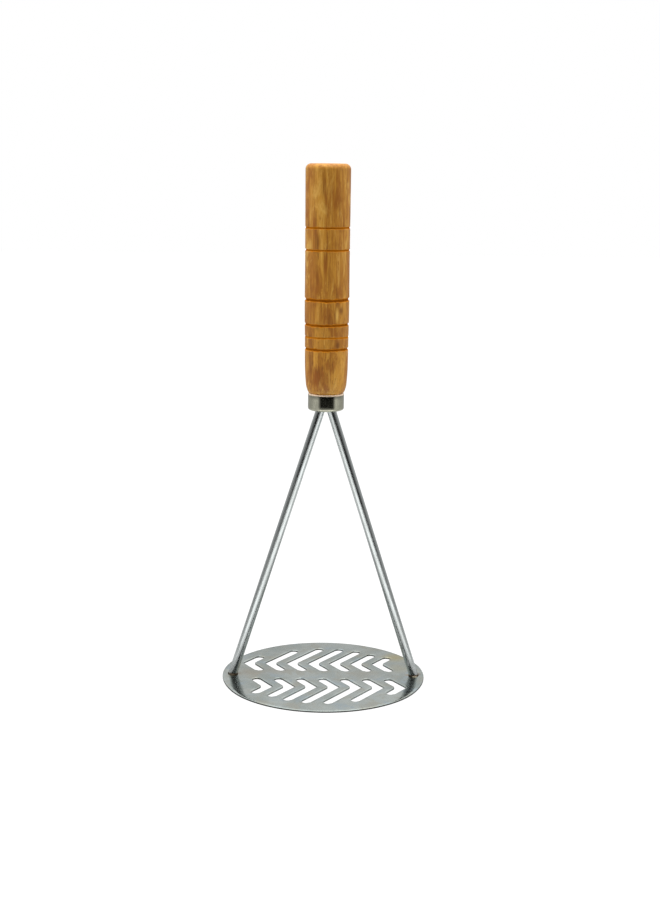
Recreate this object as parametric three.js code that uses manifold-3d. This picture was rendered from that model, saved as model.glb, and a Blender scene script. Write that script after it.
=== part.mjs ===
// Potato masher: a turned wooden grip, a drawn steel ferrule, two steel rods that spread in a V, and a
// round press plate with two rows of chevron slots. Millimetres, +Z up. The origin is the centre of the
// plate's underside, X runs from foot to foot and the grip's axis is Z.
import * as THREE from 'three';
import { mergeVertices } from 'three/addons/utils/BufferGeometryUtils.js';
import Module from 'manifold-3d';

const wasm = await Module();
wasm.setup();

const GAP = 0.3; // between pieces that touch on the real object

// Press plate
const PLATE_RADIUS = 50;
const PLATE_THICKNESS = 0.8;
const EAR_START = 41.5; // the ends beyond this |x| are turned up
const EAR_LIFT = 0.55; // how far the underside rises at |x| = PLATE_RADIUS

// Chevron slots: a back row pointing to -X, and the same row turned half round as the front row
const SLOTS_PER_ROW = 7;
const SLOT_PITCH = 10.85;
const FIRST_TIP_X = -40.75;
const TIP_Y = 17;
const SLOT_WIDTH = 4.5;
const OUTER_ARM_ANGLE = THREE.MathUtils.degToRad(56.3); // from the X axis, towards the rim
const INNER_ARM_ANGLE = THREE.MathUtils.degToRad(58.3); // from the X axis, towards the middle
const INNER_ARM_LENGTH = 14.5;
const SHORTEST_OUTER_ARM = 13;
const ARM_END_CIRCLE = 37.8; // the outer arms' round ends are centred on this circle
const TIP_RADIUS = 1;
const NOTCH_RADIUS = 3;

// Rods
const ROD_RADIUS = 2.2;
const FOOT_X = 45.1;
const ROD_X_AT_FERRULE = 2.5;
const TANG_X = 2.36;
const TANG_TOP = 188;
const BEND_REACH = 2.5; // along the rod, on each side of the corner where it turns upright

// Weld beads
const BEAD_RADIUS = 3.1;
const BEAD_HEIGHT = 0.8;

// Ferrule
const FERRULE_RADIUS = 8.65;
const FERRULE_BOTTOM = 135;
const FERRULE_TOP = 143.2;
const FERRULE_WALL = 0.5;
const FERRULE_CORNER = 1.1;
const FLOOR_SLOT = { halfLength: 5.6, halfWidth: 2.7 };

// Grip
const GRIP_TOP = 251.4;
const GRIP_TOP_EDGE = 2.7;
const SHOULDER_Z = FERRULE_TOP + GAP;
// Height and radius where the turned outline changes: shoulder, swell, hand hold, butt
const GRIP_OUTLINE = [
  [SHOULDER_Z, 8.6],
  [146.5, 9.6],
  [150, 9.95],
  [156, 10.25],
  [170, 10.4],
  [185, 10.6],
  [205, 10.55],
  [232, 10.6],
  [GRIP_TOP - GRIP_TOP_EDGE, 10.7],
];
// Scored grooves: height, depth and half width
const GROOVES = [
  { z: 164.8, depth: 0.55, half: 0.75 },
  { z: 170.5, depth: 0.25, half: 0.5 },
  { z: 176.4, depth: 0.55, half: 0.75 },
  { z: 188.2, depth: 0.65, half: 0.9 },
  { z: 211.5, depth: 0.4, half: 0.6 },
  { z: 221.9, depth: 0.4, half: 0.6 },
];
const TENON_RADIUS = FERRULE_RADIUS - FERRULE_WALL - GAP;
const TENON_BOTTOM = FERRULE_BOTTOM + FERRULE_WALL + GAP;
const BORE = { halfLength: 4.95, halfWidth: 2.55, top: TANG_TOP + 1.5 };
const BORE_MOUTH = { halfLength: 5.4, top: 138.5 };

const STEEL = { color: 0xa6aaa6, roughness: 0.3, metalness: 1 };
const BRIGHT_STEEL = { color: 0xc4c8c8, roughness: 0.18, metalness: 1 };
const WELD_STEEL = { color: 0x6b5a48, roughness: 0.5, metalness: 1 };
const WOOD = { color: 0xb9853f, roughness: 0.45, metalness: 0 };

// Solids -------------------------------------------------------------------------------------------

/** A closed geometry as a manifold solid. */
function solid(geometry) {
  const bare = geometry.index ? geometry.toNonIndexed() : geometry.clone();
  bare.deleteAttribute('normal');
  bare.deleteAttribute('uv');
  const merged = mergeVertices(bare, 1e-4);
  return new wasm.Manifold(
    new wasm.Mesh({
      numProp: 3,
      vertProperties: merged.attributes.position.array,
      triVerts: new Uint32Array(merged.index.array),
    }),
  );
}

/** A named mesh from a manifold solid or from a geometry. */
function piece(name, shape, look) {
  let geometry = shape;
  if (!shape.isBufferGeometry) {
    const { vertProperties, triVerts } = shape.getMesh();
    geometry = new THREE.BufferGeometry();
    geometry.setAttribute('position', new THREE.BufferAttribute(vertProperties, 3));
    geometry.setIndex(new THREE.BufferAttribute(triVerts, 1));
    geometry.computeVertexNormals();
  }
  const mesh = new THREE.Mesh(geometry, new THREE.MeshStandardMaterial(look));
  mesh.name = name;
  return mesh;
}

/** A shape pulled up from one height to another. */
function prism(shape, bottom, top, curveSegments = 12) {
  const geometry = new THREE.ExtrudeGeometry(shape, {
    depth: top - bottom,
    bevelEnabled: false,
    curveSegments,
  });
  return geometry.translate(0, 0, bottom);
}

/** A [radius, height] outline turned about Z. */
function turned(outline, segments) {
  const points = outline.map(([radius, height]) => new THREE.Vector2(radius, height));
  return new THREE.LatheGeometry(points, segments).rotateX(Math.PI / 2);
}

/** A long hole with round ends, lying along X. */
function obround({ halfLength, halfWidth }) {
  const straight = halfLength - halfWidth;
  const shape = new THREE.Shape();
  shape.absarc(straight, 0, halfWidth, -Math.PI / 2, Math.PI / 2);
  shape.absarc(-straight, 0, halfWidth, Math.PI / 2, 1.5 * Math.PI);
  return shape;
}

/** Points of an arc, ends included. */
function arc(cx, cy, radius, from, to, steps) {
  return Array.from({ length: steps + 1 }, (_, i) => {
    const a = from + ((to - from) * i) / steps;
    return [cx + radius * Math.cos(a), cy + radius * Math.sin(a)];
  });
}

// Press plate --------------------------------------------------------------------------------------

/** How long slot k's outer arm is: it ends on the arm end circle, unless that makes it too short. */
function outerArmLength(tipX) {
  const half = SLOT_WIDTH / 2;
  const along = new THREE.Vector2(Math.cos(OUTER_ARM_ANGLE), Math.sin(OUTER_ARM_ANGLE));
  const start = new THREE.Vector2(tipX + half * along.y, TIP_Y - half * along.x);
  const b = start.dot(along);
  const room = b * b - start.lengthSq() + ARM_END_CIRCLE ** 2;
  const reach = room > 0 ? Math.sqrt(room) - b : 0;
  return Math.max(reach + half, SHORTEST_OUTER_ARM);
}

/** One chevron with its tip at the origin and its arms running towards +X. */
function chevron(outerLength) {
  const half = SLOT_WIDTH / 2;
  const outer = OUTER_ARM_ANGLE;
  const inner = -INNER_ARM_ANGLE;
  // The middle of an arm's round end: along the arm's outer edge, then half a slot width inwards
  const endOf = (angle, length, side) => [
    (length - half) * Math.cos(angle) + side * half * Math.sin(angle),
    (length - half) * Math.sin(angle) - side * half * Math.cos(angle),
  ];
  const outerEnd = endOf(outer, outerLength, 1);
  const innerEnd = endOf(inner, INNER_ARM_LENGTH, -1);
  // A corner arc that touches both edges, centred on the bisector
  const bisector = (outer + inner) / 2;
  const halfAngle = (outer - inner) / 2;
  const tipCentre = TIP_RADIUS / Math.sin(halfAngle);
  const notchCentre = (SLOT_WIDTH + NOTCH_RADIUS) / Math.sin(halfAngle);
  const at = (distance) => [distance * Math.cos(bisector), distance * Math.sin(bisector)];
  const shape = new THREE.Shape();
  shape.absarc(...outerEnd, half, outer + Math.PI / 2, outer - Math.PI / 2, true);
  shape.absarc(...at(notchCentre), NOTCH_RADIUS, outer + Math.PI / 2, inner + 1.5 * Math.PI, false);
  shape.absarc(...innerEnd, half, inner + Math.PI / 2, inner - Math.PI / 2, true);
  shape.absarc(...at(tipCentre), TIP_RADIUS, inner - Math.PI / 2, outer - 1.5 * Math.PI, true);
  return shape;
}

/** How far the turned-up ends raise the plate at a distance from its middle. */
function earRise(x) {
  return (EAR_LIFT * Math.max(x - EAR_START, 0)) / (PLATE_RADIUS - EAR_START);
}

/** A flat strip across the plate's width with its two ends turned up. */
function strip() {
  const end = PLATE_RADIUS + 1;
  const lift = earRise(end);
  const underside = [[-end, lift], [-EAR_START, 0], [EAR_START, 0], [end, lift]];
  const topside = underside.map(([x, z]) => [x, z + PLATE_THICKNESS]).reverse();
  const outline = [...underside, ...topside].map(([x, z]) => new THREE.Vector2(x, z));
  const side = new THREE.ExtrudeGeometry(new THREE.Shape(outline), {
    depth: 2 * end,
    bevelEnabled: false,
  });
  return side.rotateX(Math.PI / 2).translate(0, end, 0);
}

function pressPlate() {
  const disc = new THREE.Shape().absarc(0, 0, PLATE_RADIUS, 0, 2 * Math.PI);
  const above = PLATE_THICKNESS + 3;
  let plate = solid(strip()).intersect(solid(prism(disc, -1, above, 40)));
  for (let k = 0; k < SLOTS_PER_ROW; k++) {
    const tipX = FIRST_TIP_X + SLOT_PITCH * k;
    const cutter = prism(chevron(outerArmLength(tipX)), -1, above, 5).translate(tipX, TIP_Y, 0);
    plate = plate.subtract(solid(cutter));
    plate = plate.subtract(solid(cutter.clone().rotateZ(Math.PI)));
  }
  return plate;
}

// Rods and their welds -----------------------------------------------------------------------------

// The rods and the beads start a gap above the plate, measured at a rod's outer side, where it is highest
const FOOT_SEAT = PLATE_THICKNESS + earRise(FOOT_X + ROD_RADIUS) + GAP;

/** A rod's centre line: from below the foot up to the ferrule, then upright inside the grip. */
function rodLine(side) {
  const foot = new THREE.Vector3(side * FOOT_X, 0, PLATE_THICKNESS);
  const lean = new THREE.Vector3(side * ROD_X_AT_FERRULE, 0, FERRULE_BOTTOM).sub(foot).normalize();
  const corner = foot.clone().addScaledVector(lean, (side * (TANG_X - FOOT_X)) / lean.x);
  const up = new THREE.Vector3(0, 0, 1);
  const bendStart = corner.clone().addScaledVector(lean, -BEND_REACH);
  const bendEnd = corner.clone().addScaledVector(up, BEND_REACH);
  const line = new THREE.CurvePath();
  line.add(new THREE.LineCurve3(foot.clone().addScaledVector(lean, -2), bendStart));
  line.add(new THREE.QuadraticBezierCurve3(bendStart, corner, bendEnd));
  line.add(new THREE.LineCurve3(bendEnd, new THREE.Vector3(side * TANG_X, 0, TANG_TOP)));
  return line;
}

function rodBar(side, radius) {
  const section = new THREE.Shape().absarc(0, 0, radius, 0, 2 * Math.PI);
  return new THREE.ExtrudeGeometry(section, {
    extrudePath: rodLine(side),
    steps: 48,
    curveSegments: 7,
    bevelEnabled: false,
  });
}

/** Everything above a height, as a block wide enough for any piece here. */
function above(height) {
  const size = 2 * GRIP_TOP;
  return solid(new THREE.BoxGeometry(size, size, size).translate(0, 0, height + size / 2));
}

function rod(side) {
  return solid(rodBar(side, ROD_RADIUS)).intersect(above(FOOT_SEAT));
}

/** A low bead of weld metal round a rod's foot. */
function weldBead(side) {
  const ball = new THREE.SphereGeometry(1, 18, 10).scale(BEAD_RADIUS, BEAD_RADIUS, BEAD_HEIGHT);
  return solid(ball.translate(side * FOOT_X, 0, FOOT_SEAT))
    .intersect(above(FOOT_SEAT))
    .subtract(solid(rodBar(side, ROD_RADIUS + GAP)));
}

// Ferrule and grip ---------------------------------------------------------------------------------

function ferrule() {
  const inner = FERRULE_RADIUS - FERRULE_WALL;
  const innerCorner = FERRULE_CORNER - FERRULE_WALL;
  const cornerZ = FERRULE_BOTTOM + FERRULE_CORNER;
  const cup = turned(
    [
      [0, FERRULE_BOTTOM],
      ...arc(FERRULE_RADIUS - FERRULE_CORNER, cornerZ, FERRULE_CORNER, -Math.PI / 2, 0, 4),
      [FERRULE_RADIUS, FERRULE_TOP],
      [inner, FERRULE_TOP],
      ...arc(inner - innerCorner, cornerZ, innerCorner, 0, -Math.PI / 2, 3),
      [0, FERRULE_BOTTOM + FERRULE_WALL],
    ],
    32,
  );
  const slot = prism(obround(FLOOR_SLOT), FERRULE_BOTTOM - 1, FERRULE_BOTTOM + 2);
  return solid(cup).subtract(solid(slot));
}

/** The grip's turned outline from the shoulder to the butt, with each groove scored into it. */
function gripOutline() {
  const curve = new THREE.SplineCurve(GRIP_OUTLINE.map(([z, radius]) => new THREE.Vector2(z, radius)));
  const plain = curve.getPoints(2 * (GRIP_OUTLINE.length - 1)).map((p) => [p.y, p.x]);
  const radiusAt = (z) => {
    const next = plain.findIndex(([, height]) => height >= z);
    const [r0, z0] = plain[Math.max(next - 1, 0)];
    const [r1, z1] = plain[next];
    return z1 === z0 ? r1 : r0 + ((r1 - r0) * (z - z0)) / (z1 - z0);
  };
  const clear = plain.filter(([, z]) => GROOVES.every((g) => Math.abs(z - g.z) > g.half + 0.2));
  const scored = GROOVES.flatMap(({ z, depth, half }) =>
    [[-half, 0], [-half / 3, depth], [half / 3, depth], [half, 0]].map(([dz, d]) => [
      radiusAt(z + dz) - d,
      z + dz,
    ]),
  );
  return [...clear, ...scored].sort((a, b) => a[1] - b[1]);
}

function grip() {
  const butt = GRIP_OUTLINE[GRIP_OUTLINE.length - 1];
  const body = turned(
    [
      [0, TENON_BOTTOM],
      [TENON_RADIUS - 0.6, TENON_BOTTOM],
      [TENON_RADIUS, TENON_BOTTOM + 0.6],
      [TENON_RADIUS, SHOULDER_Z],
      ...gripOutline(),
      ...arc(butt[1] - GRIP_TOP_EDGE, butt[0], GRIP_TOP_EDGE, 0, Math.PI / 2, 5).slice(1),
      [0, GRIP_TOP],
    ],
    32,
  );
  const below = TENON_BOTTOM - 1;
  const bore = prism(obround(BORE), below, BORE.top, 6);
  const mouth = prism(obround({ ...BORE, ...BORE_MOUTH }), below, BORE_MOUTH.top, 6);
  return solid(body).subtract(solid(bore)).subtract(solid(mouth));
}

const masher = new THREE.Group();
masher.add(
  piece('handle_grip', grip(), WOOD),
  piece('ferrule', ferrule(), STEEL),
  piece('rod_left', rod(-1), BRIGHT_STEEL),
  piece('rod_right', rod(1), BRIGHT_STEEL),
  piece('press_plate', pressPlate(), STEEL),
  piece('weld_left', weldBead(-1), WELD_STEEL),
  piece('weld_right', weldBead(1), WELD_STEEL),
);

export default masher;
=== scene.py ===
"""A potato masher: the looks of its wooden grip, steel ferrule, rods, press plate and welds, around the
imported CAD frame. Lengths are in millimetres here and become metres where a mesh is made. +Z is up, X runs
from foot to foot, and the origin is the centre of the press plate's underside."""

import math

import bpy
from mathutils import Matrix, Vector, noise
from mathutils.geometry import delaunay_2d_cdt


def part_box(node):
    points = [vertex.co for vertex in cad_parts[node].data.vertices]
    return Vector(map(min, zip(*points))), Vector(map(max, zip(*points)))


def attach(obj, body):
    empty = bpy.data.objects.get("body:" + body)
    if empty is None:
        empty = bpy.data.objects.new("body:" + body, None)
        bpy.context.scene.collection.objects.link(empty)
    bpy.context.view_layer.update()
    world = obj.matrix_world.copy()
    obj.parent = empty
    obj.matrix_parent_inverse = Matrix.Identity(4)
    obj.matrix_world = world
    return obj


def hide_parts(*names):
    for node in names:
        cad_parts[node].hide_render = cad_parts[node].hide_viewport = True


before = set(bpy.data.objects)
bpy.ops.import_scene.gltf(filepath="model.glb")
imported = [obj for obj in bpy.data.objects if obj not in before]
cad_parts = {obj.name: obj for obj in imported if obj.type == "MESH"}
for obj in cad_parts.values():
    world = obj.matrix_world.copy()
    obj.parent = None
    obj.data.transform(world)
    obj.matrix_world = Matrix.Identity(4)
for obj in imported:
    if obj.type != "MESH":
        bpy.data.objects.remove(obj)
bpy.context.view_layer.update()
MM = 0.001
TAU = 2 * math.pi


def node_box(node):
    """A CAD node's lowest and highest corners, in millimetres."""
    low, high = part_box(node)
    return Vector(low) / MM, Vector(high) / MM


GRIP_LOW, GRIP_HIGH = node_box("handle_grip")
FERRULE_LOW, FERRULE_HIGH = node_box("ferrule")
PLATE_LOW, PLATE_HIGH = node_box("press_plate")
ROD_LOW, ROD_HIGH = node_box("rod_right")
BEAD_LOW, BEAD_HIGH = node_box("weld_right")

# Press plate
PLATE_RADIUS = PLATE_HIGH.x
PLATE_THICKNESS = 0.8
PLATE_EDGE = 0.32  # how far the rounding of an edge reaches into the top face
EAR_LIFT = PLATE_HIGH.z - PLATE_THICKNESS
EAR_START = 41.5  # the ends beyond this |x| are turned up
EAR_SOFTNESS = 1.5  # half the length over which the plate bends there, about
SLOTS_PER_ROW = 7
SLOT_PITCH = 10.85
FIRST_TIP_X = -40.75
TIP_Y = 17.0
SLOT_WIDTH = 4.5
OUTER_ARM_ANGLE = math.radians(56.3)
INNER_ARM_ANGLE = math.radians(58.3)
INNER_ARM_LENGTH = 14.5
SHORTEST_OUTER_ARM = 13.0
ARM_END_CIRCLE = 37.8
TIP_RADIUS = 1.0
NOTCH_RADIUS = 3.0
GRID_STEP = 1.25  # between the points inside the sheet
GRID_FROM_RIM = 0.8
GRID_FROM_EDGES = 0.6

# Rods
ROD_RADIUS = (ROD_HIGH.y - ROD_LOW.y) / 2
FOOT_X = (BEAD_LOW.x + BEAD_HIGH.x) / 2
ROD_X_AT_FERRULE = 2.5
TANG_X = 2.36
TANG_TOP = ROD_HIGH.z
BEND_REACH = 2.5
# A rod is pressed a little flat up to the first of these heights, and is round from the second
PRESSED_TO = 4.0
ROUND_FROM = 60.0

# Ferrule
FERRULE_RADIUS = FERRULE_HIGH.x
FERRULE_BOTTOM = FERRULE_LOW.z
FERRULE_TOP = FERRULE_HIGH.z
FERRULE_WALL = 0.5
FERRULE_CORNER = 1.1
FLOOR_SLOT = (5.6, 2.7)  # half length and half width, as for the bore

# Grip
GRIP_TOP = GRIP_HIGH.z
TENON_BOTTOM = GRIP_LOW.z
TENON_RADIUS = FERRULE_RADIUS - FERRULE_WALL - 0.1
SHOULDER_Z = FERRULE_TOP + 0.1
TOP_EDGE = 2.7
BORE = (4.95, 2.55)
BORE_TOP = TANG_TOP + 1.5
BORE_MOUTH_HALF_LENGTH = BORE[0] + 0.45
BORE_MOUTH_TOP = 138.5
# Height and radius where the turned outline changes: shoulder, swell, hand hold, butt
GRIP_OUTLINE = (
    (SHOULDER_Z, 8.35),
    (144.3, 8.9),
    (146.5, 9.55),
    (150.0, 9.95),
    (156.0, 10.25),
    (170.0, 10.4),
    (185.0, 10.6),
    (205.0, 10.55),
    (232.0, 10.6),
    (GRIP_TOP - TOP_EDGE, 10.7),
)
# Scored grooves: height, depth and half width
GROOVES = (
    (164.8, 0.55, 0.75),
    (170.5, 0.25, 0.5),
    (176.4, 0.55, 0.75),
    (188.2, 0.65, 0.9),
    (211.5, 0.4, 0.6),
    (221.9, 0.4, 0.6),
)


# Meshes ---------------------------------------------------------------------------------------------


def smooth(low, high, value):
    """0 at low, 1 at high, and an S-curve between them."""
    u = min(max((value - low) / (high - low), 0.0), 1.0)
    return u * u * (3 - 2 * u)


def wobble(x, y, z, scale, seed=0.0):
    """Smooth noise of about -1 to 1 at a point in millimetres."""
    return noise.noise(Vector((x * scale + seed, y * scale - seed, z * scale + 2 * seed)))


def add_object(name, points, faces, material, nodes, sharp=35):
    """A smooth-shaded piece in the row frame that rides on the root and stands for CAD nodes."""
    mesh = bpy.data.meshes.new(name)
    mesh.from_pydata([Vector(p) * MM for p in points], [], faces)
    mesh.validate()
    mesh.materials.append(material)
    mesh.shade_smooth()
    mesh.set_sharp_from_angle(angle=math.radians(sharp))
    piece = bpy.data.objects.new(name, mesh)
    bpy.context.scene.collection.objects.link(piece)
    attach(piece, "root")
    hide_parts(*nodes)
    return piece


def paint(piece, name, values):
    """One number for each vertex of a piece, for its material to read."""
    layer = piece.data.attributes.new(name, "FLOAT", "POINT")
    layer.data.foreach_set("value", values)


def stack(rings, loop=False):
    """Points and quads through rings of equal length. A loop joins the last ring to the first, and an
    open stack gets a centre point at each end."""
    count = len(rings[0])
    points = [p for ring in rings for p in ring]
    faces = []
    pairs = len(rings) if loop else len(rings) - 1
    for i in range(pairs):
        a, b = i * count, (i + 1) % len(rings) * count
        for j in range(count):
            k = (j + 1) % count
            faces.append((a + j, a + k, b + k, b + j))
    if not loop:
        for ring, start, turn in ((rings[0], 0, -1), (rings[-1], count * (len(rings) - 1), 1)):
            centre = sum((Vector(p) for p in ring), Vector()) / count
            points.append(tuple(centre))
            for j in range(count):
                edge = (start + j, start + (j + 1) % count)
                faces.append((*edge[::turn], len(points) - 1))
    return points, faces


def round_ring(radius, z, count):
    return [(radius * math.cos(TAU * j / count), radius * math.sin(TAU * j / count), z) for j in range(count)]


def obround_ring(half_length, half_width, z, count):
    """A ring of a long hole with round ends, its points at even angles of the round ends' directions."""
    straight = half_length - half_width
    ring = []
    for j in range(count):
        c, s = math.cos(TAU * j / count), math.sin(TAU * j / count)
        side = straight * max(-1.0, min(1.0, 3 * c))
        ring.append((side + half_width * c, half_width * s, z))
    return ring


def hermite(stations, at):
    """A smooth curve through (position, value) stations."""
    n = len(stations)
    i = max(k for k in range(n - 1) if k == 0 or stations[k][0] <= at)
    (x0, y0), (x1, y1) = stations[i], stations[i + 1]

    def slope(k):
        a, b = stations[max(k - 1, 0)], stations[min(k + 1, n - 1)]
        return (b[1] - a[1]) / (b[0] - a[0])

    h = x1 - x0
    u = min(max((at - x0) / h, 0.0), 1.0)
    m0, m1 = slope(i) * h, slope(i + 1) * h
    return (
        (2 * u**3 - 3 * u**2 + 1) * y0
        + (u**3 - 2 * u**2 + u) * m0
        + (3 * u**2 - 2 * u**3) * y1
        + (u**3 - u**2) * m1
    )


# Node trees -----------------------------------------------------------------------------------------


class Tree:
    """A short way to write a material's nodes."""

    def __init__(self, name):
        self.material = bpy.data.materials.new(name)
        self.material.use_nodes = True
        self.nodes = self.material.node_tree.nodes
        self.links = self.material.node_tree.links
        self.nodes.clear()
        self.shader = self.add("ShaderNodeBsdfPrincipled")
        self.output = self.add("ShaderNodeOutputMaterial")
        self.links.new(self.shader.outputs["BSDF"], self.output.inputs["Surface"])
        scale = self.add("ShaderNodeVectorMath", operation="SCALE")
        self.links.new(self.add("ShaderNodeTexCoord").outputs["Object"], scale.inputs[0])
        scale.inputs["Scale"].default_value = 1 / MM
        self.place = scale.outputs[0]

    def add(self, kind, **settings):
        node = self.nodes.new(kind)
        for key, value in settings.items():
            setattr(node, key, value)
        return node

    def feed(self, socket, value):
        """Links an output to a socket, or sets a plain number, vector or colour on it."""
        if isinstance(value, bpy.types.NodeSocket):
            self.links.new(value, socket)
        elif isinstance(value, (tuple, list)) and len(value) == 3 and len(socket.default_value) == 4:
            socket.default_value = (*value, 1)
        else:
            socket.default_value = value

    def set(self, **sockets):
        """Sets the shader's sockets: words_with_underscores name them."""
        for key, value in sockets.items():
            self.feed(self.shader.inputs[key.replace("_", " ")], value)

    def math(self, operation, a, b=0.0, clamp=False):
        node = self.add("ShaderNodeMath", operation=operation, use_clamp=clamp)
        self.feed(node.inputs[0], a)
        self.feed(node.inputs[1], b)
        return node.outputs[0]

    def span(self, value, low, high, to_low=0.0, to_high=1.0):
        """A smooth step from to_low to to_high as value goes from low to high."""
        node = self.add("ShaderNodeMapRange", interpolation_type="SMOOTHSTEP")
        for socket, v in zip(node.inputs, (value, low, high, to_low, to_high)):
            self.feed(socket, v)
        return node.outputs[0]

    def stretch(self, scale, offset=(0, 0, 0)):
        node = self.add("ShaderNodeMapping")
        self.feed(node.inputs["Vector"], self.place)
        node.inputs["Scale"].default_value = scale
        node.inputs["Location"].default_value = offset
        return node.outputs[0]

    def cloud(self, scale, detail=3.0, rough=0.5, offset=(0, 0, 0), twist=0.0):
        """Noise of 0 to 1, with scale in cycles per millimetre along X, Y and Z."""
        node = self.add("ShaderNodeTexNoise")
        self.feed(node.inputs["Vector"], self.stretch(scale, offset))
        node.inputs["Scale"].default_value = 1.0
        node.inputs["Detail"].default_value = detail
        node.inputs["Roughness"].default_value = rough
        node.inputs["Distortion"].default_value = twist
        return node.outputs["Fac"]

    def blend(self, amount, a, b):
        node = self.add("ShaderNodeMix", data_type="RGBA", blend_type="MIX")
        self.feed(node.inputs["Factor"], amount)
        self.feed(node.inputs["A"], a)
        self.feed(node.inputs["B"], b)
        return node.outputs["Result"]

    def near(self, centre, radii):
        """1 at a point and 0 from an ellipsoid of these radii outwards."""
        shift = self.add("ShaderNodeVectorMath", operation="SUBTRACT")
        self.feed(shift.inputs[0], self.place)
        shift.inputs[1].default_value = centre
        divide = self.add("ShaderNodeVectorMath", operation="DIVIDE")
        self.feed(divide.inputs[0], shift.outputs[0])
        divide.inputs[1].default_value = radii
        length = self.add("ShaderNodeVectorMath", operation="LENGTH")
        self.feed(length.inputs[0], divide.outputs[0])
        return self.span(length.outputs["Value"], 1.0, 0.0)

    def bump(self, height, distance, strength):
        node = self.add("ShaderNodeBump")
        self.feed(node.inputs["Height"], height)
        node.inputs["Distance"].default_value = distance * MM
        node.inputs["Strength"].default_value = strength
        return node.outputs["Normal"]

    def height(self):
        """Z in millimetres."""
        node = self.add("ShaderNodeSeparateXYZ")
        self.feed(node.inputs[0], self.place)
        return node.outputs["Z"]

    def painted(self, name):
        return self.add("ShaderNodeAttribute", attribute_name=name).outputs["Fac"]


# Grip -----------------------------------------------------------------------------------------------

HONEY = (0.49, 0.232, 0.029)
AMBER = (0.31, 0.116, 0.010)
STRAW = (0.63, 0.37, 0.080)
RUSSET = (0.25, 0.076, 0.006)
UMBER = (0.17, 0.058, 0.006)
SCORCH = (0.50, 0.17, 0.008)
CHAR = (0.22, 0.06, 0.003)
# Figure in the wood: angle from +X in degrees, height, radii across and along, tint and strength
MARKS = (
    (-115, 152.5, 3.2, 6.5, UMBER, 1.3),
    (-118, 151.0, 4.4, 9.0, RUSSET, 1.1),
    (-131, 158.5, 1.4, 2.6, UMBER, 0.6),
    (-100, 156.5, 1.1, 2.2, UMBER, 0.6),
    (-114, 176.0, 2.0, 3.2, UMBER, 0.5),
    (-59, 167.0, 2.2, 3.0, UMBER, 1.1),
    (-48, 168.0, 1.5, 5.0, RUSSET, 0.5),
    (-50, 183.5, 1.8, 3.2, UMBER, 1.1),
    (-63, 181.5, 1.2, 4.8, STRAW, 1.4),
    (-69, 181.0, 0.7, 4.8, UMBER, 0.5),
    (-115, 216.0, 1.4, 5.0, UMBER, 0.9),
    (-66, 214.5, 1.0, 4.0, UMBER, 0.4),
    (-95, 204.5, 1.5, 9.0, RUSSET, 0.7),
    (-117, 200.5, 1.3, 8.0, UMBER, 0.4),
    (-86, 199.0, 1.0, 7.0, UMBER, 0.35),
    (-84, 236.0, 4.5, 15.0, RUSSET, 0.55),
    (-60, 232.0, 1.4, 7.0, UMBER, 0.3),
    (60, 165.0, 2.5, 9.0, UMBER, 0.5),
    (82, 226.0, 3.5, 16.0, RUSSET, 0.6),
    (120, 205.0, 2.0, 12.0, RUSSET, 0.6),
    (10, 228.0, 2.2, 8.0, UMBER, 0.4),
    (190, 180.0, 2.4, 9.0, RUSSET, 0.6),
)


MARK_RADIUS = 10.4  # the marks' distance from the axis, at about the grip's surface


def wood():
    t = Tree("varnished_wood")
    fibres = t.cloud((1.5, 1.5, 0.06), 4, 0.65, twist=0.5)
    bands = t.cloud((0.16, 0.16, 0.012), 3, 0.6, offset=(7, 3, 1), twist=0.9)
    pores = t.cloud((2.6, 2.6, 0.3), 2, 0.6, offset=(2, 9, 4))
    patches = t.cloud((0.14, 0.14, 0.06), 4, 0.65, offset=(5, 1, 8), twist=0.6)
    streaks = t.cloud((0.5, 0.5, 0.045), 4, 0.65, offset=(1, 4, 2), twist=0.8)
    tone = t.math("ADD", t.math("MULTIPLY", fibres, 0.5), t.math("MULTIPLY", bands, 0.6))
    colour = t.blend(t.span(tone, 0.42, 0.70), HONEY, AMBER)
    colour = t.blend(t.span(patches, 0.48, 0.68, 0.0, 0.75), colour, RUSSET)
    colour = t.blend(t.span(patches, 0.46, 0.3, 0.0, 0.6), colour, STRAW)
    colour = t.blend(t.span(streaks, 0.53, 0.70, 0.0, 0.7), colour, UMBER)
    colour = t.blend(t.span(streaks, 0.45, 0.3, 0.0, 0.55), colour, STRAW)
    low_end = t.span(t.height(), 205.0, 165.0, 0.5, 1.0)
    flecks = t.math("MULTIPLY", t.span(pores, 0.56, 0.72), low_end)
    colour = t.blend(t.math("MULTIPLY", flecks, 0.7), colour, UMBER)
    for angle, height, across, along, tint, strength in MARKS:
        a = math.radians(angle)
        centre = (MARK_RADIUS * math.cos(a), MARK_RADIUS * math.sin(a), height)
        reach = t.near(centre, (across, across, along))
        torn = t.math("MULTIPLY", reach, t.span(fibres, 0.35, 0.6, 0.45, 1.3))
        colour = t.blend(t.math("MULTIPLY", torn, strength, clamp=True), colour, tint)
    char = t.painted("char")
    colour = t.blend(t.span(char, 0.05, 0.6, 0.0, 0.9), colour, SCORCH)
    colour = t.blend(t.span(char, 0.5, 1.0, 0.0, 0.9), colour, CHAR)
    t.set(Base_Color=colour, Roughness=t.span(pores, 0.3, 0.75, 0.42, 0.62), Coat_Roughness=0.28)
    t.set(Coat_Weight=t.span(char, 0.0, 0.6, 0.12, 0.0), Specular_IOR_Level=t.span(char, 0.0, 0.6, 0.3, 0.0))
    grain = t.math("ADD", t.math("MULTIPLY", fibres, 0.5), pores)
    t.set(Normal=t.bump(grain, 0.12, 0.5))
    return t.material


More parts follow.
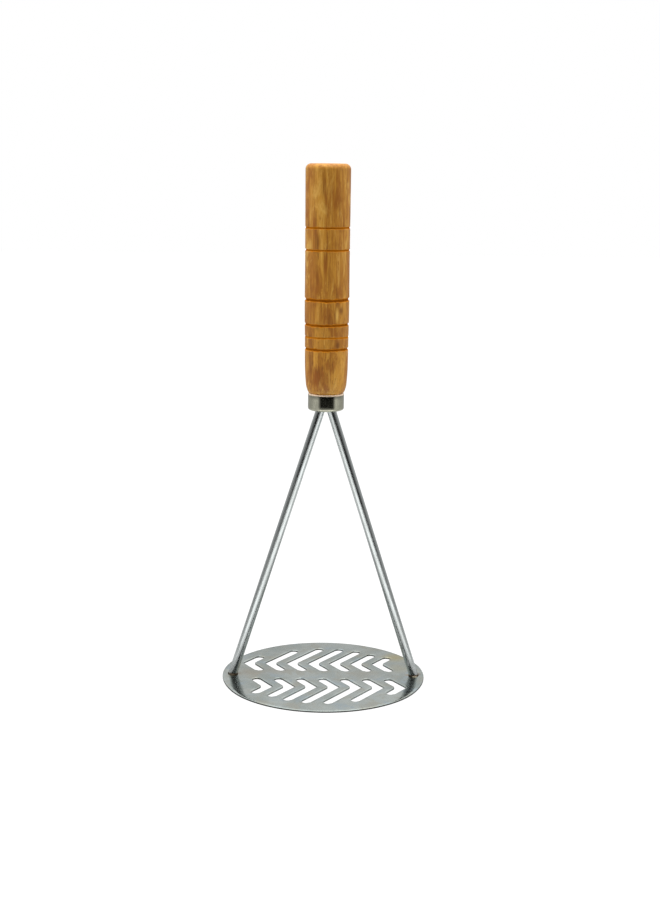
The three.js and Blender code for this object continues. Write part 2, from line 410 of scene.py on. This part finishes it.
def groove_at(x, y, z):
    """How deep the scored grooves are at a point of the grip, and how charred it is there."""
    cut, char = 0.0, 0.0
    for height, depth, half in GROOVES:
        off = z - height - 0.12 * wobble(x, y, 0, 0.09, height)
        if abs(off) > half + 1.2:
            continue
        ragged = 1 + 0.35 * wobble(x, y, z, 0.55, height)
        u = abs(off) / (half * ragged)
        if u < 1:
            cut = max(cut, depth * ragged * (1 - u**1.6))
        soot = 1 - smooth(0.2, 1.45 + 0.5 * wobble(x, y, z, 0.8, 3.0), u)
        char = max(char, soot * min(1.0, 0.55 + depth * 0.7))
    return cut, char


def make_grip():
    count = 200
    heights = []
    z = SHOULDER_Z
    while z < GRIP_TOP - TOP_EDGE:
        heights.append(z)
        near_groove = any(abs(z - g[0]) < g[2] + 0.35 for g in GROOVES)
        z += 0.1 if near_groove else 0.4
    butt_z, butt_radius = GRIP_OUTLINE[-1]
    shoulder_radius = GRIP_OUTLINE[0][1]
    profile = [(TENON_RADIUS - 0.5, TENON_BOTTOM), (TENON_RADIUS, TENON_BOTTOM + 0.5)]
    profile += [(TENON_RADIUS, SHOULDER_Z)]
    profile += [(shoulder_radius - 0.35, SHOULDER_Z), (shoulder_radius - 0.1, SHOULDER_Z + 0.08)]
    profile += [(hermite(GRIP_OUTLINE, h), h) for h in heights[1:]]
    flat = butt_radius - TOP_EDGE
    steps = 12
    for i in range(steps + 1):
        a = math.pi / 2 * i / steps
        profile.append((flat + TOP_EDGE * math.cos(a), butt_z + TOP_EDGE * math.sin(a)))
    profile += [(flat * f, GRIP_TOP) for f in (0.85, 0.65, 0.4, 0.15)]
    rings, chars = [], []
    for radius, z in profile:
        ring = []
        for j in range(count):
            c, s = math.cos(TAU * j / count), math.sin(TAU * j / count)
            x, y = radius * c, radius * s
            cut = char = 0.0
            if radius > TENON_RADIUS + 0.2:
                cut, char = groove_at(x, y, z)
                cut += 0.05 * wobble(x, y, z, 0.05) + 0.02 * wobble(x, y, z, 0.35, 5.0)
            lower = 0.06 * (1 + wobble(x, y, z, 0.25, 2.0)) if z >= GRIP_TOP - 0.01 else 0.0
            ring.append(((radius - cut) * c, (radius - cut) * s, z - lower))
            chars.append(char)
        rings.append(ring)
    # The bore for the tangs, from its mouth to its blind end
    mouth = BORE_MOUTH_HALF_LENGTH
    for half_length, z in (
        (mouth, TENON_BOTTOM),
        (mouth, BORE_MOUTH_TOP),
        (BORE[0], BORE_MOUTH_TOP + 1.0),
        (BORE[0], BORE_TOP),
    ):
        rings.insert(0, obround_ring(half_length, BORE[1], z, count))
        chars = [0.0] * count + chars
    points, faces = stack(rings)
    piece = add_object("grip_turned_wood", points, faces, wood(), ["handle_grip"], 50)
    paint(piece, "char", chars + [0.0, 0.0])


# Ferrule --------------------------------------------------------------------------------------------


SATIN = (0.50, 0.495, 0.395)
SATIN_DARK = tuple(c * 0.8 for c in SATIN)
# the rolled rim's colour: a painted warm reflection of the wood above it, on a worn, duller edge
RIM_PAINTED_WARM_REFLECTION = (0.80, 0.62, 0.46)


def satin_steel():
    t = Tree("ferrule_steel_satin")
    lines = t.cloud((0.25, 0.25, 2.2), 3, 0.6)
    clouds = t.cloud((0.16, 0.16, 0.16), 3, 0.55, offset=(3, 8, 1))
    scratch = t.cloud((2.4, 2.4, 2.4), 2, 0.5, offset=(9, 2, 6))
    shade = t.blend(t.span(clouds, 0.35, 0.68), SATIN, SATIN_DARK)
    shade = t.blend(t.span(lines, 0.45, 0.75, 0.0, 0.35), shade, SATIN_DARK)
    # the rim mask paints the warm reflection of the wood onto the rolled lip, and makes the worn edge less
    # metallic
    rim = t.painted("rim")
    shade = t.blend(rim, shade, RIM_PAINTED_WARM_REFLECTION)
    t.set(Base_Color=shade, Metallic=t.span(rim, 0.0, 1.0, 1.0, 0.3))
    mix = t.math("ADD", t.math("MULTIPLY", lines, 0.6), t.math("MULTIPLY", clouds, 0.4))
    t.set(Roughness=t.span(mix, 0.3, 0.7, 0.085, 0.125))
    t.set(Normal=t.bump(t.math("ADD", t.math("MULTIPLY", scratch, 0.3), lines), 0.004, 0.25))
    return t.material


def make_ferrule():
    count = 160
    inner = FERRULE_RADIUS - FERRULE_WALL
    corner_z = FERRULE_BOTTOM + FERRULE_CORNER
    inner_corner = FERRULE_CORNER - FERRULE_WALL
    floor_top = FERRULE_BOTTOM + FERRULE_WALL
    lip_in, lip_down = 0.42, 0.9
    rings = [
        obround_ring(FLOOR_SLOT[0], FLOOR_SLOT[1], FERRULE_BOTTOM + 0.12, count),
        obround_ring(FLOOR_SLOT[0] + 0.12, FLOOR_SLOT[1] + 0.12, FERRULE_BOTTOM, count),
        obround_ring(FLOOR_SLOT[0] + 0.4, FLOOR_SLOT[1] + 0.6, FERRULE_BOTTOM, count),
    ]
    steps = 8
    for i in range(steps + 1):
        a = -math.pi / 2 + math.pi / 2 * i / steps
        radius = FERRULE_RADIUS - FERRULE_CORNER + FERRULE_CORNER * math.cos(a)
        rings.append(round_ring(radius, corner_z + FERRULE_CORNER * math.sin(a), count))
    for part in (0.25, 0.5, 0.75):
        z = corner_z + (FERRULE_TOP - lip_down - corner_z) * part
        ring = []
        for x, y, _ in round_ring(FERRULE_RADIUS, z, count):
            dent = 1 - 0.004 * max(0.0, wobble(x, y, z, 0.2, 1.5))
            ring.append((x * dent, y * dent, z))
        rings.append(ring)
    for i in range(5):
        a = math.pi / 2 * i / 4
        radius = FERRULE_RADIUS - lip_in * (1 - math.cos(a))
        rings.append(round_ring(radius, FERRULE_TOP - lip_down * (1 - math.sin(a)), count))
    rings.append(round_ring(inner, FERRULE_TOP, count))
    for i in range(5):
        a = math.pi / 2 * i / 4
        radius = inner - inner_corner * (1 - math.cos(a))
        rings.append(round_ring(radius, corner_z - inner_corner * math.sin(a), count))
    rings.append(obround_ring(FLOOR_SLOT[0], FLOOR_SLOT[1], floor_top, count))
    points, faces = stack(rings, loop=True)
    piece = add_object("ferrule_drawn_cup", points, faces, satin_steel(), ["ferrule"])
    # the rim mask marks the rolled lip, where the warm reflection of the wood is painted
    paint(piece, "rim", [smooth(FERRULE_TOP - lip_down, FERRULE_TOP - 0.5, p[2]) for p in points])


# Rods -----------------------------------------------------------------------------------------------


def rod_centre_line(side):
    """Points up the middle of a rod: straight from its foot, round the bend, and up the tang."""
    foot = Vector((side * FOOT_X, 0, PLATE_THICKNESS))
    lean = (Vector((side * ROD_X_AT_FERRULE, 0, FERRULE_BOTTOM)) - foot).normalized()
    corner = foot + lean * (side * (TANG_X - FOOT_X) / lean.x)
    start, end = corner - lean * BEND_REACH, corner + Vector((0, 0, BEND_REACH))
    line = [foot.lerp(start, i / 90) for i in range(90)]
    for i in range(12):
        u = i / 12
        line.append(start * (1 - u) ** 2 + corner * 2 * u * (1 - u) + end * u * u)
    top = Vector((side * TANG_X, 0, TANG_TOP))
    line += [end.lerp(top, i / 8) for i in range(9)]
    return line


def make_rod(side, name, node, material):
    count = 48
    line = rod_centre_line(side)
    rings = []
    for i, at in enumerate(line):
        ahead = (line[min(i + 1, len(line) - 1)] - line[max(i - 1, 0)]).normalized()
        across = Vector((0, 1, 0)).cross(ahead).normalized()
        press = 1 - smooth(PRESSED_TO, ROUND_FROM, at.z)
        half_x, half_y = ROD_RADIUS * (1 + 0.03 * press), ROD_RADIUS * (1 - 0.06 * press)
        ring = []
        for j in range(count):
            c, s = math.cos(TAU * j / count), math.sin(TAU * j / count)
            size = 1 + 0.002 * wobble(*at, 0.05, side)
            p = at + across * (half_x * c * size) + Vector((0, half_y * s * size, 0))
            if i == 0:
                p += ahead * ((PLATE_THICKNESS - p.z) / ahead.z)
            ring.append(tuple(p))
        rings.append(ring)
    tip = line[-1]
    for shrink, rise in ((0.92, 0.0), (0.6, 0.0)):
        rings.append([tuple(tip + (Vector(p) - tip) * shrink) for p in rings[len(line) - 1]])
    points, faces = stack(rings)
    add_object(name, points, faces, material, [node])


GRIME = (0.36, 0.36, 0.33)
WIRE = (0.57, 0.605, 0.60)
WIRE_DULL = (0.52, 0.55, 0.54)


def drawn_wire():
    t = Tree("bright_drawn_wire")
    lines = t.cloud((2.6, 2.6, 0.05), 3, 0.6)
    clouds = t.cloud((0.3, 0.3, 0.07), 3, 0.55, offset=(3, 8, 1))
    specks = t.cloud((1.3, 1.3, 0.9), 3, 0.6, offset=(4, 2, 6))
    colour = t.blend(t.span(clouds, 0.35, 0.7), WIRE, WIRE_DULL)
    colour = t.blend(t.span(specks, 0.6, 0.8, 0.0, 0.2), colour, GRIME)
    t.set(Base_Color=colour, Metallic=1.0, Roughness=t.span(clouds, 0.3, 0.7, 0.12, 0.22))
    t.set(Normal=t.bump(lines, 0.002, 0.15))
    return t.material


# Press plate ----------------------------------------------------------------------------------------


def arc(centre, radius, start, end, steps):
    return [
        (centre[0] + radius * math.cos(start + (end - start) * i / steps),
         centre[1] + radius * math.sin(start + (end - start) * i / steps))
        for i in range(steps + 1)
    ]


def outer_arm_length(tip_x):
    """A slot's outer arm ends on the arm end circle, unless that makes it too short."""
    half = SLOT_WIDTH / 2
    along = (math.cos(OUTER_ARM_ANGLE), math.sin(OUTER_ARM_ANGLE))
    start = (tip_x + half * along[1], TIP_Y - half * along[0])
    b = start[0] * along[0] + start[1] * along[1]
    room = b * b - start[0] ** 2 - start[1] ** 2 + ARM_END_CIRCLE**2
    reach = math.sqrt(room) - b if room > 0 else 0.0
    return max(reach + half, SHORTEST_OUTER_ARM)


def chevron(tip_x):
    """A slot's outline in the back row, clockwise."""
    half = SLOT_WIDTH / 2
    outer, inner = OUTER_ARM_ANGLE, -INNER_ARM_ANGLE

    def end_of(angle, length, side):
        return (
            (length - half) * math.cos(angle) + side * half * math.sin(angle),
            (length - half) * math.sin(angle) - side * half * math.cos(angle),
        )

    bisector, half_angle = (outer + inner) / 2, (outer - inner) / 2

    def corner(radius, offset):
        distance = (radius + offset) / math.sin(half_angle)
        return distance * math.cos(bisector), distance * math.sin(bisector)

    quarter = math.pi / 2
    outer_end = end_of(outer, outer_arm_length(tip_x), 1)
    inner_end = end_of(inner, INNER_ARM_LENGTH, -1)
    outline = arc(outer_end, half, outer + quarter, outer - quarter, 18)
    outline += arc(corner(NOTCH_RADIUS, SLOT_WIDTH), NOTCH_RADIUS, outer + quarter, inner + 3 * quarter, 12)
    outline += arc(inner_end, half, inner + quarter, inner - quarter, 18)
    outline += arc(corner(TIP_RADIUS, 0), TIP_RADIUS, inner - quarter, outer - 3 * quarter, 10)
    return [(tip_x + x, TIP_Y + y) for x, y in evened(outline, 1.2)]


def evened(outline, step):
    """The same outline with its long straight edges cut into short ones."""
    points = []
    for i, (x0, y0) in enumerate(outline):
        x1, y1 = outline[(i + 1) % len(outline)]
        parts = max(1, round(math.hypot(x1 - x0, y1 - y0) / step))
        points += [(x0 + (x1 - x0) * k / parts, y0 + (y1 - y0) * k / parts) for k in range(parts)]
    return points


def inset(loop, distance):
    """The loop moved into the metal. Every loop here has the metal on its left."""
    moved = []
    n = len(loop)
    for i, (x, y) in enumerate(loop):
        x0, y0 = loop[i - 1]
        x1, y1 = loop[(i + 1) % n]
        length = math.hypot(x1 - x0, y1 - y0)
        moved.append((x - (y1 - y0) / length * distance, y + (x1 - x0) / length * distance))
    return moved


def inside(point, loop):
    """Whether a point lies within a loop, counting the edges to its right."""
    x, y = point[0], point[1]
    hit = False
    for i, (x0, y0) in enumerate(loop):
        x1, y1 = loop[i - 1]
        if (y0 > y) != (y1 > y) and x < (x1 - x0) * (y - y0) / (y1 - y0) + x0:
            hit = not hit
    return hit


def ear(x):
    """How far the plate's turned-up ends raise it."""
    past = abs(x) - EAR_START
    return EAR_LIFT / (PLATE_RADIUS - EAR_START) * (past + math.hypot(past, EAR_SOFTNESS)) / 2


def plate_loops():
    loops = []
    for k in range(SLOTS_PER_ROW):
        loop = chevron(FIRST_TIP_X + SLOT_PITCH * k)
        loops += [loop, [(-x, -y) for x, y in loop]]
    return loops


def grid_points(rim, slots):
    """Points of an even grid that lie in the metal and clear of every edge."""
    edge_points = [p for loop in [rim, *slots] for p in loop]
    cells = {}
    for x, y in edge_points:
        cells.setdefault((round(x), round(y)), []).append((x, y))
    reach = int(PLATE_RADIUS / GRID_STEP)
    kept = []
    for i in range(-reach, reach + 1):
        for j in range(-reach, reach + 1):
            x, y = (i + 0.5 * (j % 2)) * GRID_STEP, j * GRID_STEP
            if math.hypot(x, y) > PLATE_RADIUS - GRID_FROM_RIM:
                continue
            beside = [(round(x) + a, round(y) + b) for a in (-1, 0, 1) for b in (-1, 0, 1)]
            close = [p for cell in beside for p in cells.get(cell, ())]
            if any(math.hypot(x - p[0], y - p[1]) < GRID_FROM_EDGES for p in close):
                continue
            if not any(inside((x, y), loop) for loop in slots):
                kept.append((x, y))
    return kept


def make_plate():
    slots = plate_loops()
    rim = [(x, y) for x, y, _ in round_ring(PLATE_RADIUS, 0.0, 300)]
    loops = [rim, *slots]
    borders = [inset(loop, PLATE_EDGE) for loop in loops]
    flat = [p for loop in borders for p in loop]
    edges, start = [], 0
    for loop in borders:
        n = len(loop)
        edges += [(start + i, start + (i + 1) % n) for i in range(n)]
        start += n
    flat += grid_points(rim, slots)
    found = delaunay_2d_cdt([Vector(p) for p in flat], edges, [], 1, 1e-5)
    sheet, triangles, origin = found[0], found[2], found[3]
    place = {k: i for i, source in enumerate(origin) for k in source}
    points = [(p.x, p.y, PLATE_THICKNESS) for p in sheet] + [(p.x, p.y, 0.0) for p in sheet]
    shift = len(sheet)
    faces = []
    for tri in triangles:
        a, b, c = (sheet[i] for i in tri)
        if any(inside((a + b + c) / 3, loop) for loop in slots):
            continue
        up = (b - a).cross(c - a) > 0
        tri = list(tri) if up else list(tri)[::-1]
        faces += [tuple(tri), tuple(shift + i for i in reversed(tri))]
    # Each edge: a rounded top corner, the wall left by the shear, and a nearly square bottom corner. The wall
    # is coloured dark, as burr and painted shade.
    rolls = [(PLATE_EDGE * (1 - math.sin(a)), PLATE_THICKNESS - PLATE_EDGE * (1 - math.cos(a)))
             for a in (math.pi / 8, math.pi / 4, 3 * math.pi / 8, math.pi / 2)]
    rolls += [(0.0, 0.07), (0.03, 0.02), (0.07, 0.0)]
    start = 0
    burr_and_shade = [0.0] * len(points)
    for loop in loops:
        # how dark the walls are painted, as burr and shade: fully on the outer rim, less in the slots
        darkest = 1.0 if loop is rim else 0.45
        n = len(loop)
        rows = [[place[start + i] for i in range(n)]]
        for distance, z in rolls:
            first = len(points)
            points += [(x, y, z) for x, y in inset(loop, distance)]
            burr_and_shade += [darkest * smooth(PLATE_THICKNESS, PLATE_THICKNESS - PLATE_EDGE, z)] * n
            rows.append([first + i for i in range(n)])
        rows.append([shift + place[start + i] for i in range(n)])
        for upper, lower in zip(rows, rows[1:]):
            faces += [(upper[i], lower[i], lower[(i + 1) % n], upper[(i + 1) % n]) for i in range(n)]
        start += n
    points = [(x, y, z + ear(x)) for x, y, z in points]
    piece = add_object("press_plate_sheet", points, faces, plate_steel(), ["press_plate"], 40)
    paint(piece, "burr_and_shade", burr_and_shade)


SHEET = (0.50, 0.545, 0.52)
SHEET_DARK = (0.34, 0.385, 0.365)
SHEET_STRAW = (0.415, 0.41, 0.345)
SHEET_BLUE = (0.38, 0.46, 0.50)
# the edge walls' colour: dark burr and painted shade
EDGE_BURR_AND_SHADE = (0.07, 0.075, 0.07)
# Stains on the sheet: X, Y, radius, tint and strength
STAINS = (
    (FOOT_X - 2.6, 0.5, 2.6, (0.40, 0.27, 0.13), 0.6),
    (FOOT_X + 1.5, 1.0, 3.5, (0.22, 0.12, 0.04), 0.8),
    (-FOOT_X + 2.6, 0.5, 3.2, (0.22, 0.18, 0.11), 0.7),
    (-37.0, 3.0, 11.0, (0.40, 0.35, 0.27), 0.6),
    (-24.0, 6.0, 10.0, (0.40, 0.37, 0.31), 0.5),
    (37.0, 27.0, 10.0, (0.48, 0.41, 0.17), 0.75),
    (38.0, 10.0, 10.0, (0.44, 0.43, 0.31), 0.6),
    (20.0, 1.0, 12.0, (0.40, 0.38, 0.31), 0.5),
)


def plate_steel():
    t = Tree("rolled_sheet_steel")
    clouds = t.cloud((0.055, 0.055, 0.055), 4, 0.6, offset=(3, 8, 1), twist=0.4)
    hue = t.cloud((0.11, 0.11, 0.11), 3, 0.6, offset=(1, 6, 4), twist=0.5)
    rolling = t.cloud((0.05, 2.2, 2.2), 3, 0.6)
    grime = t.cloud((0.5, 0.5, 0.5), 4, 0.65, offset=(6, 1, 3))
    colour = t.blend(t.span(clouds, 0.32, 0.7), SHEET, SHEET_DARK)
    colour = t.blend(t.span(hue, 0.5, 0.68, 0.0, 0.65), colour, SHEET_STRAW)
    colour = t.blend(t.span(hue, 0.46, 0.3, 0.0, 0.8), colour, SHEET_BLUE)
    colour = t.blend(t.span(grime, 0.6, 0.85, 0.0, 0.35), colour, GRIME)
    for x, y, across, tint, strength in STAINS:
        reach = t.near((x, y, PLATE_THICKNESS), (across, across, across))
        colour = t.blend(t.math("MULTIPLY", reach, strength), colour, tint)
    # darkens the edge walls with dark burr and painted shade
    colour = t.blend(t.painted("burr_and_shade"), colour, EDGE_BURR_AND_SHADE)
    t.set(Base_Color=colour, Metallic=1.0)
    mix = t.math("ADD", t.math("MULTIPLY", grime, 0.5), t.math("MULTIPLY", clouds, 0.5))
    t.set(Roughness=t.span(mix, 0.3, 0.7, 0.11, 0.22))
    t.set(Normal=t.bump(t.math("ADD", rolling, t.math("MULTIPLY", grime, 0.5)), 0.006, 0.3))
    return t.material


# Welds ----------------------------------------------------------------------------------------------


BEAD_BROWN = (0.040, 0.035, 0.024)
BEAD_RED = (0.055, 0.032, 0.014)
BEAD_BLACK = (0.03, 0.024, 0.02)
# a pale colour painted on the bead's front crest as a highlight
PAINTED_CREST_HIGHLIGHT = (0.75, 0.66, 0.50)


def weld_metal():
    t = Tree("heat_tinted_weld")
    ripples = t.cloud((0.9, 0.9, 0.9), 3, 0.6)
    tint = t.cloud((0.5, 0.5, 0.5), 2, 0.5, offset=(2, 7, 3))
    colour = t.blend(t.span(tint, 0.35, 0.65), BEAD_BROWN, BEAD_RED)
    colour = t.blend(t.span(ripples, 0.5, 0.75, 0.0, 0.7), colour, BEAD_BLACK)
    # painted highlight on the front crest of the bead
    colour = t.blend(t.painted("crest_highlight"), colour, PAINTED_CREST_HIGHLIGHT)
    t.set(Base_Color=colour, Metallic=0.9, Roughness=t.span(ripples, 0.3, 0.7, 0.25, 0.5))
    t.set(Normal=t.bump(ripples, 0.1, 0.5))
    return t.material


SEAM = 0.05  # how far a bead runs into its rod and the plate


def make_weld(side, name, node, material):
    """A lumpy low bead round a rod's foot, seated on the turned-up plate, and wider in front and behind
    than at the sides. Its crest in front carries a painted highlight in a pale metal colour, most of all on
    the right."""
    count = 96
    reach = (BEAD_HIGH.x - BEAD_LOW.x) / 2
    height = 0.55 * (BEAD_HIGH.z - PLATE_THICKNESS)
    lean = (FOOT_X - ROD_X_AT_FERRULE) / (FERRULE_BOTTOM - PLATE_THICKNESS)
    rings, crest_highlight = [], []
    steps = 10
    for i in range(steps + 1):
        u = i / steps
        ring = []
        for j in range(count):
            c, s = math.cos(TAU * j / count), math.sin(TAU * j / count)
            lump = 1 + 0.2 * wobble(2 * c, 2 * s, 0, 1.1, 4.0 + side)
            width = (0.5 + 0.4 * abs(s)) * (reach - ROD_RADIUS) * lump
            in_front = smooth(0.85, 0.99, side * 0.25 * c - s)
            crest = smooth(0.1, 0.22, u) * (1 - smooth(0.28, 0.42, u))
            # where the painted highlight falls: the crest in front, strong on the right and faint on the left
            crest_highlight.append(in_front * crest * (0.9 if side > 0 else 0.15))
            out = ROD_RADIUS - SEAM + width * math.cos(u * math.pi / 2)
            seat = PLATE_THICKNESS + ear(side * FOOT_X + out * c)
            z = seat - SEAM + height * lump * math.sin(u * math.pi / 2)
            z = min(z, BEAD_HIGH.z)
            ring.append((side * (FOOT_X - lean * (z - PLATE_THICKNESS)) + out * c, out * s, z))
        rings.append(ring)
    points, faces = stack(rings)
    piece = add_object(name, points, faces, material, [node], 60)
    paint(piece, "crest_highlight", crest_highlight + [0.0, 0.0])


# Studio ---------------------------------------------------------------------------------------------

CAMERA_PLACE = Vector((2.2, -719.0, 259.05))
CAMERA_PITCH = 11.32  # degrees below the horizon
CAMERA_ROLL = 0.62  # degrees
FOCAL_LENGTH = 60.6
SENSOR_WIDTH = 36.0
FLOOR_REACH = 3000.0
FLOOR_Z = -0.05
FLOOR_PAINT = (0.72, 0.72, 0.72)
ROOM_TURN = math.radians(6)  # how far the floor's dark stretch is turned from straight in front
LAMP_AIM = Vector((0, 0, 120))


def make_floor():
    """A pale floor, white to the camera. What the object mirrors of it is brightest in front and near, half
    as bright beside and behind, dimmer under the object and far out, and almost black far out in front."""
    mesh = bpy.data.meshes.new("pale_floor")
    signs = ((-1, -1), (1, -1), (1, 1), (-1, 1))
    corners = [Vector((x * FLOOR_REACH, y * FLOOR_REACH, FLOOR_Z)) for x, y in signs]
    mesh.from_pydata([corner * MM for corner in corners], [], [(0, 1, 2, 3)])
    floor = bpy.data.objects.new("pale_floor", mesh)
    bpy.context.scene.collection.objects.link(floor)
    t = Tree("pale_floor")
    split = t.add("ShaderNodeSeparateXYZ")
    t.feed(split.inputs[0], t.place)
    x, y = split.outputs[0], split.outputs[1]
    radius = t.math("SQRT", t.math("ADD", t.math("MULTIPLY", x, x), t.math("MULTIPLY", y, y)))
    forward = t.math("MULTIPLY", y, -math.cos(ROOM_TURN))
    ahead = t.math("ADD", forward, t.math("MULTIPLY", x, math.sin(ROOM_TURN)))
    facing = t.math("DIVIDE", ahead, t.math("MAXIMUM", radius, 1.0))
    wedge = t.math("MULTIPLY", t.span(facing, 0.40, 0.80), t.span(radius, 300.0, 700.0))
    pool = t.math("MULTIPLY", t.span(radius, 60.0, 150.0, 0.50, 1.0), t.span(radius, 180.0, 420.0, 1.0, 0.72))
    pool = t.math("MULTIPLY", pool, t.span(facing, 0.3, 0.8, 0.5, 1.0))
    level = t.math("MULTIPLY", pool, t.math("SUBTRACT", 1.0, t.math("MULTIPLY", wedge, 0.99)))
    seen = t.add("ShaderNodeLightPath").outputs["Is Camera Ray"]
    level = t.math("MAXIMUM", level, seen)
    t.set(Base_Color=t.blend(level, (0, 0, 0), FLOOR_PAINT), Roughness=0.7, Specular_IOR_Level=0.0)
    glow = t.add("ShaderNodeEmission")
    glow.inputs["Strength"].default_value = 1.05
    mix = t.add("ShaderNodeMixShader")
    t.feed(mix.inputs[0], t.math("MULTIPLY", seen, 0.88))
    t.links.new(t.shader.outputs[0], mix.inputs[1])
    t.links.new(glow.outputs[0], mix.inputs[2])
    t.links.new(mix.outputs[0], t.output.inputs["Surface"])
    mesh.materials.append(t.material)


def make_world():
    """White to the camera. What the object mirrors is a grey that brightens overhead and high up behind,
    with a dark room in front that is broad near the horizon and narrower above it."""
    world = bpy.data.worlds.new("studio")
    world.use_nodes = True
    bpy.context.scene.world = world
    nodes, links = world.node_tree.nodes, world.node_tree.links
    nodes.clear()

    def add(kind, **settings):
        node = nodes.new(kind)
        for key, value in settings.items():
            setattr(node, key, value)
        return node

    def ramp(value, low, high, to_low, to_high, kind="SMOOTHSTEP"):
        node = add("ShaderNodeMapRange", interpolation_type=kind)
        links.new(value, node.inputs[0])
        for socket, v in zip(node.inputs[1:5], (low, high, to_low, to_high)):
            socket.default_value = v
        return node.outputs[0]

    def combine(operation, a, b):
        node = add("ShaderNodeMath", operation=operation)
        for socket, v in zip(node.inputs, (a, b)):
            if isinstance(v, float):
                socket.default_value = v
            else:
                links.new(v, socket)
        return node.outputs[0]

    split = add("ShaderNodeSeparateXYZ")
    links.new(add("ShaderNodeTexCoord").outputs["Generated"], split.inputs[0])
    x, y, z = split.outputs
    flat = combine("SQRT", combine("ADD", combine("MULTIPLY", x, x), combine("MULTIPLY", y, y)), 0.0)
    facing = combine("DIVIDE", combine("MULTIPLY", y, -1.0), combine("MAXIMUM", flat, 0.001))
    low_room = ramp(facing, -0.6, 0.9, 0.0, 0.96, "LINEAR")
    high_room = ramp(facing, 0.22, 0.70, 0.0, 0.90)
    rise = ramp(z, 0.12, 0.32, 0.0, 1.0)
    low_part = combine("MULTIPLY", low_room, combine("SUBTRACT", 1.0, rise))
    room = combine("ADD", low_part, combine("MULTIPLY", high_room, rise))
    room = combine("MULTIPLY", room, ramp(z, 0.78, 0.52, 0.0, 1.0))
    back = combine("MULTIPLY", ramp(facing, -0.3, -0.8, 0.0, 1.0), ramp(z, 0.3, 0.42, -0.04, 0.38))
    open_light = combine("ADD", combine("ADD", back, 0.60), ramp(z, 0.5, 0.95, 0.0, 1.4))
    light = combine("MULTIPLY", open_light, combine("SUBTRACT", 1.0, room))
    seen = add("ShaderNodeLightPath").outputs["Is Camera Ray"]
    level = combine("MAXIMUM", light, seen)
    background = add("ShaderNodeBackground")
    links.new(level, background.inputs["Strength"])
    background.inputs["Color"].default_value = (1, 1, 1, 1)
    links.new(background.outputs[0], add("ShaderNodeOutputWorld").inputs[0])


def make_lamp(name, place, size, power):
    """A soft round lamp aimed at the middle of the object. Metal doesn't mirror it."""
    data = bpy.data.lights.new(name, "AREA")
    data.shape = "DISK"
    data.size = size * MM
    data.energy = power
    lamp = bpy.data.objects.new(name, data)
    lamp.location = Vector(place) * MM
    lamp.rotation_euler = (LAMP_AIM - Vector(place)).to_track_quat("-Z", "Y").to_euler()
    lamp.visible_glossy = False
    bpy.context.scene.collection.objects.link(lamp)


def make_camera():
    data = bpy.data.cameras.new("camera")
    data.lens = FOCAL_LENGTH
    data.sensor_width = SENSOR_WIDTH
    data.clip_start = 0.01
    data.clip_end = 50.0
    camera = bpy.data.objects.new("camera", data)
    camera.location = CAMERA_PLACE * MM
    camera.rotation_euler = (math.radians(90 - CAMERA_PITCH), 0, 0)
    camera.rotation_euler.rotate_axis("Z", math.radians(CAMERA_ROLL))
    bpy.context.scene.collection.objects.link(camera)
    bpy.context.scene.camera = camera


make_camera()
make_floor()
make_world()
make_lamp("soft_top", (0, 50, 1200), 700, 12.0)
make_lamp("soft_left", (-870, -230, 420), 600, 4.8)
make_lamp("soft_right", (870, -230, 420), 600, 3.9)
make_grip()
make_ferrule()
ROD_METAL = drawn_wire()
BEAD_METAL = weld_metal()
for SIDE, HAND in ((-1, "left"), (1, "right")):
    make_rod(SIDE, "rod_wire_" + HAND, "rod_" + HAND, ROD_METAL)
    make_weld(SIDE, "weld_bead_" + HAND, "weld_" + HAND, BEAD_METAL)
make_plate()

bpy.context.scene.view_settings.view_transform = "Standard"
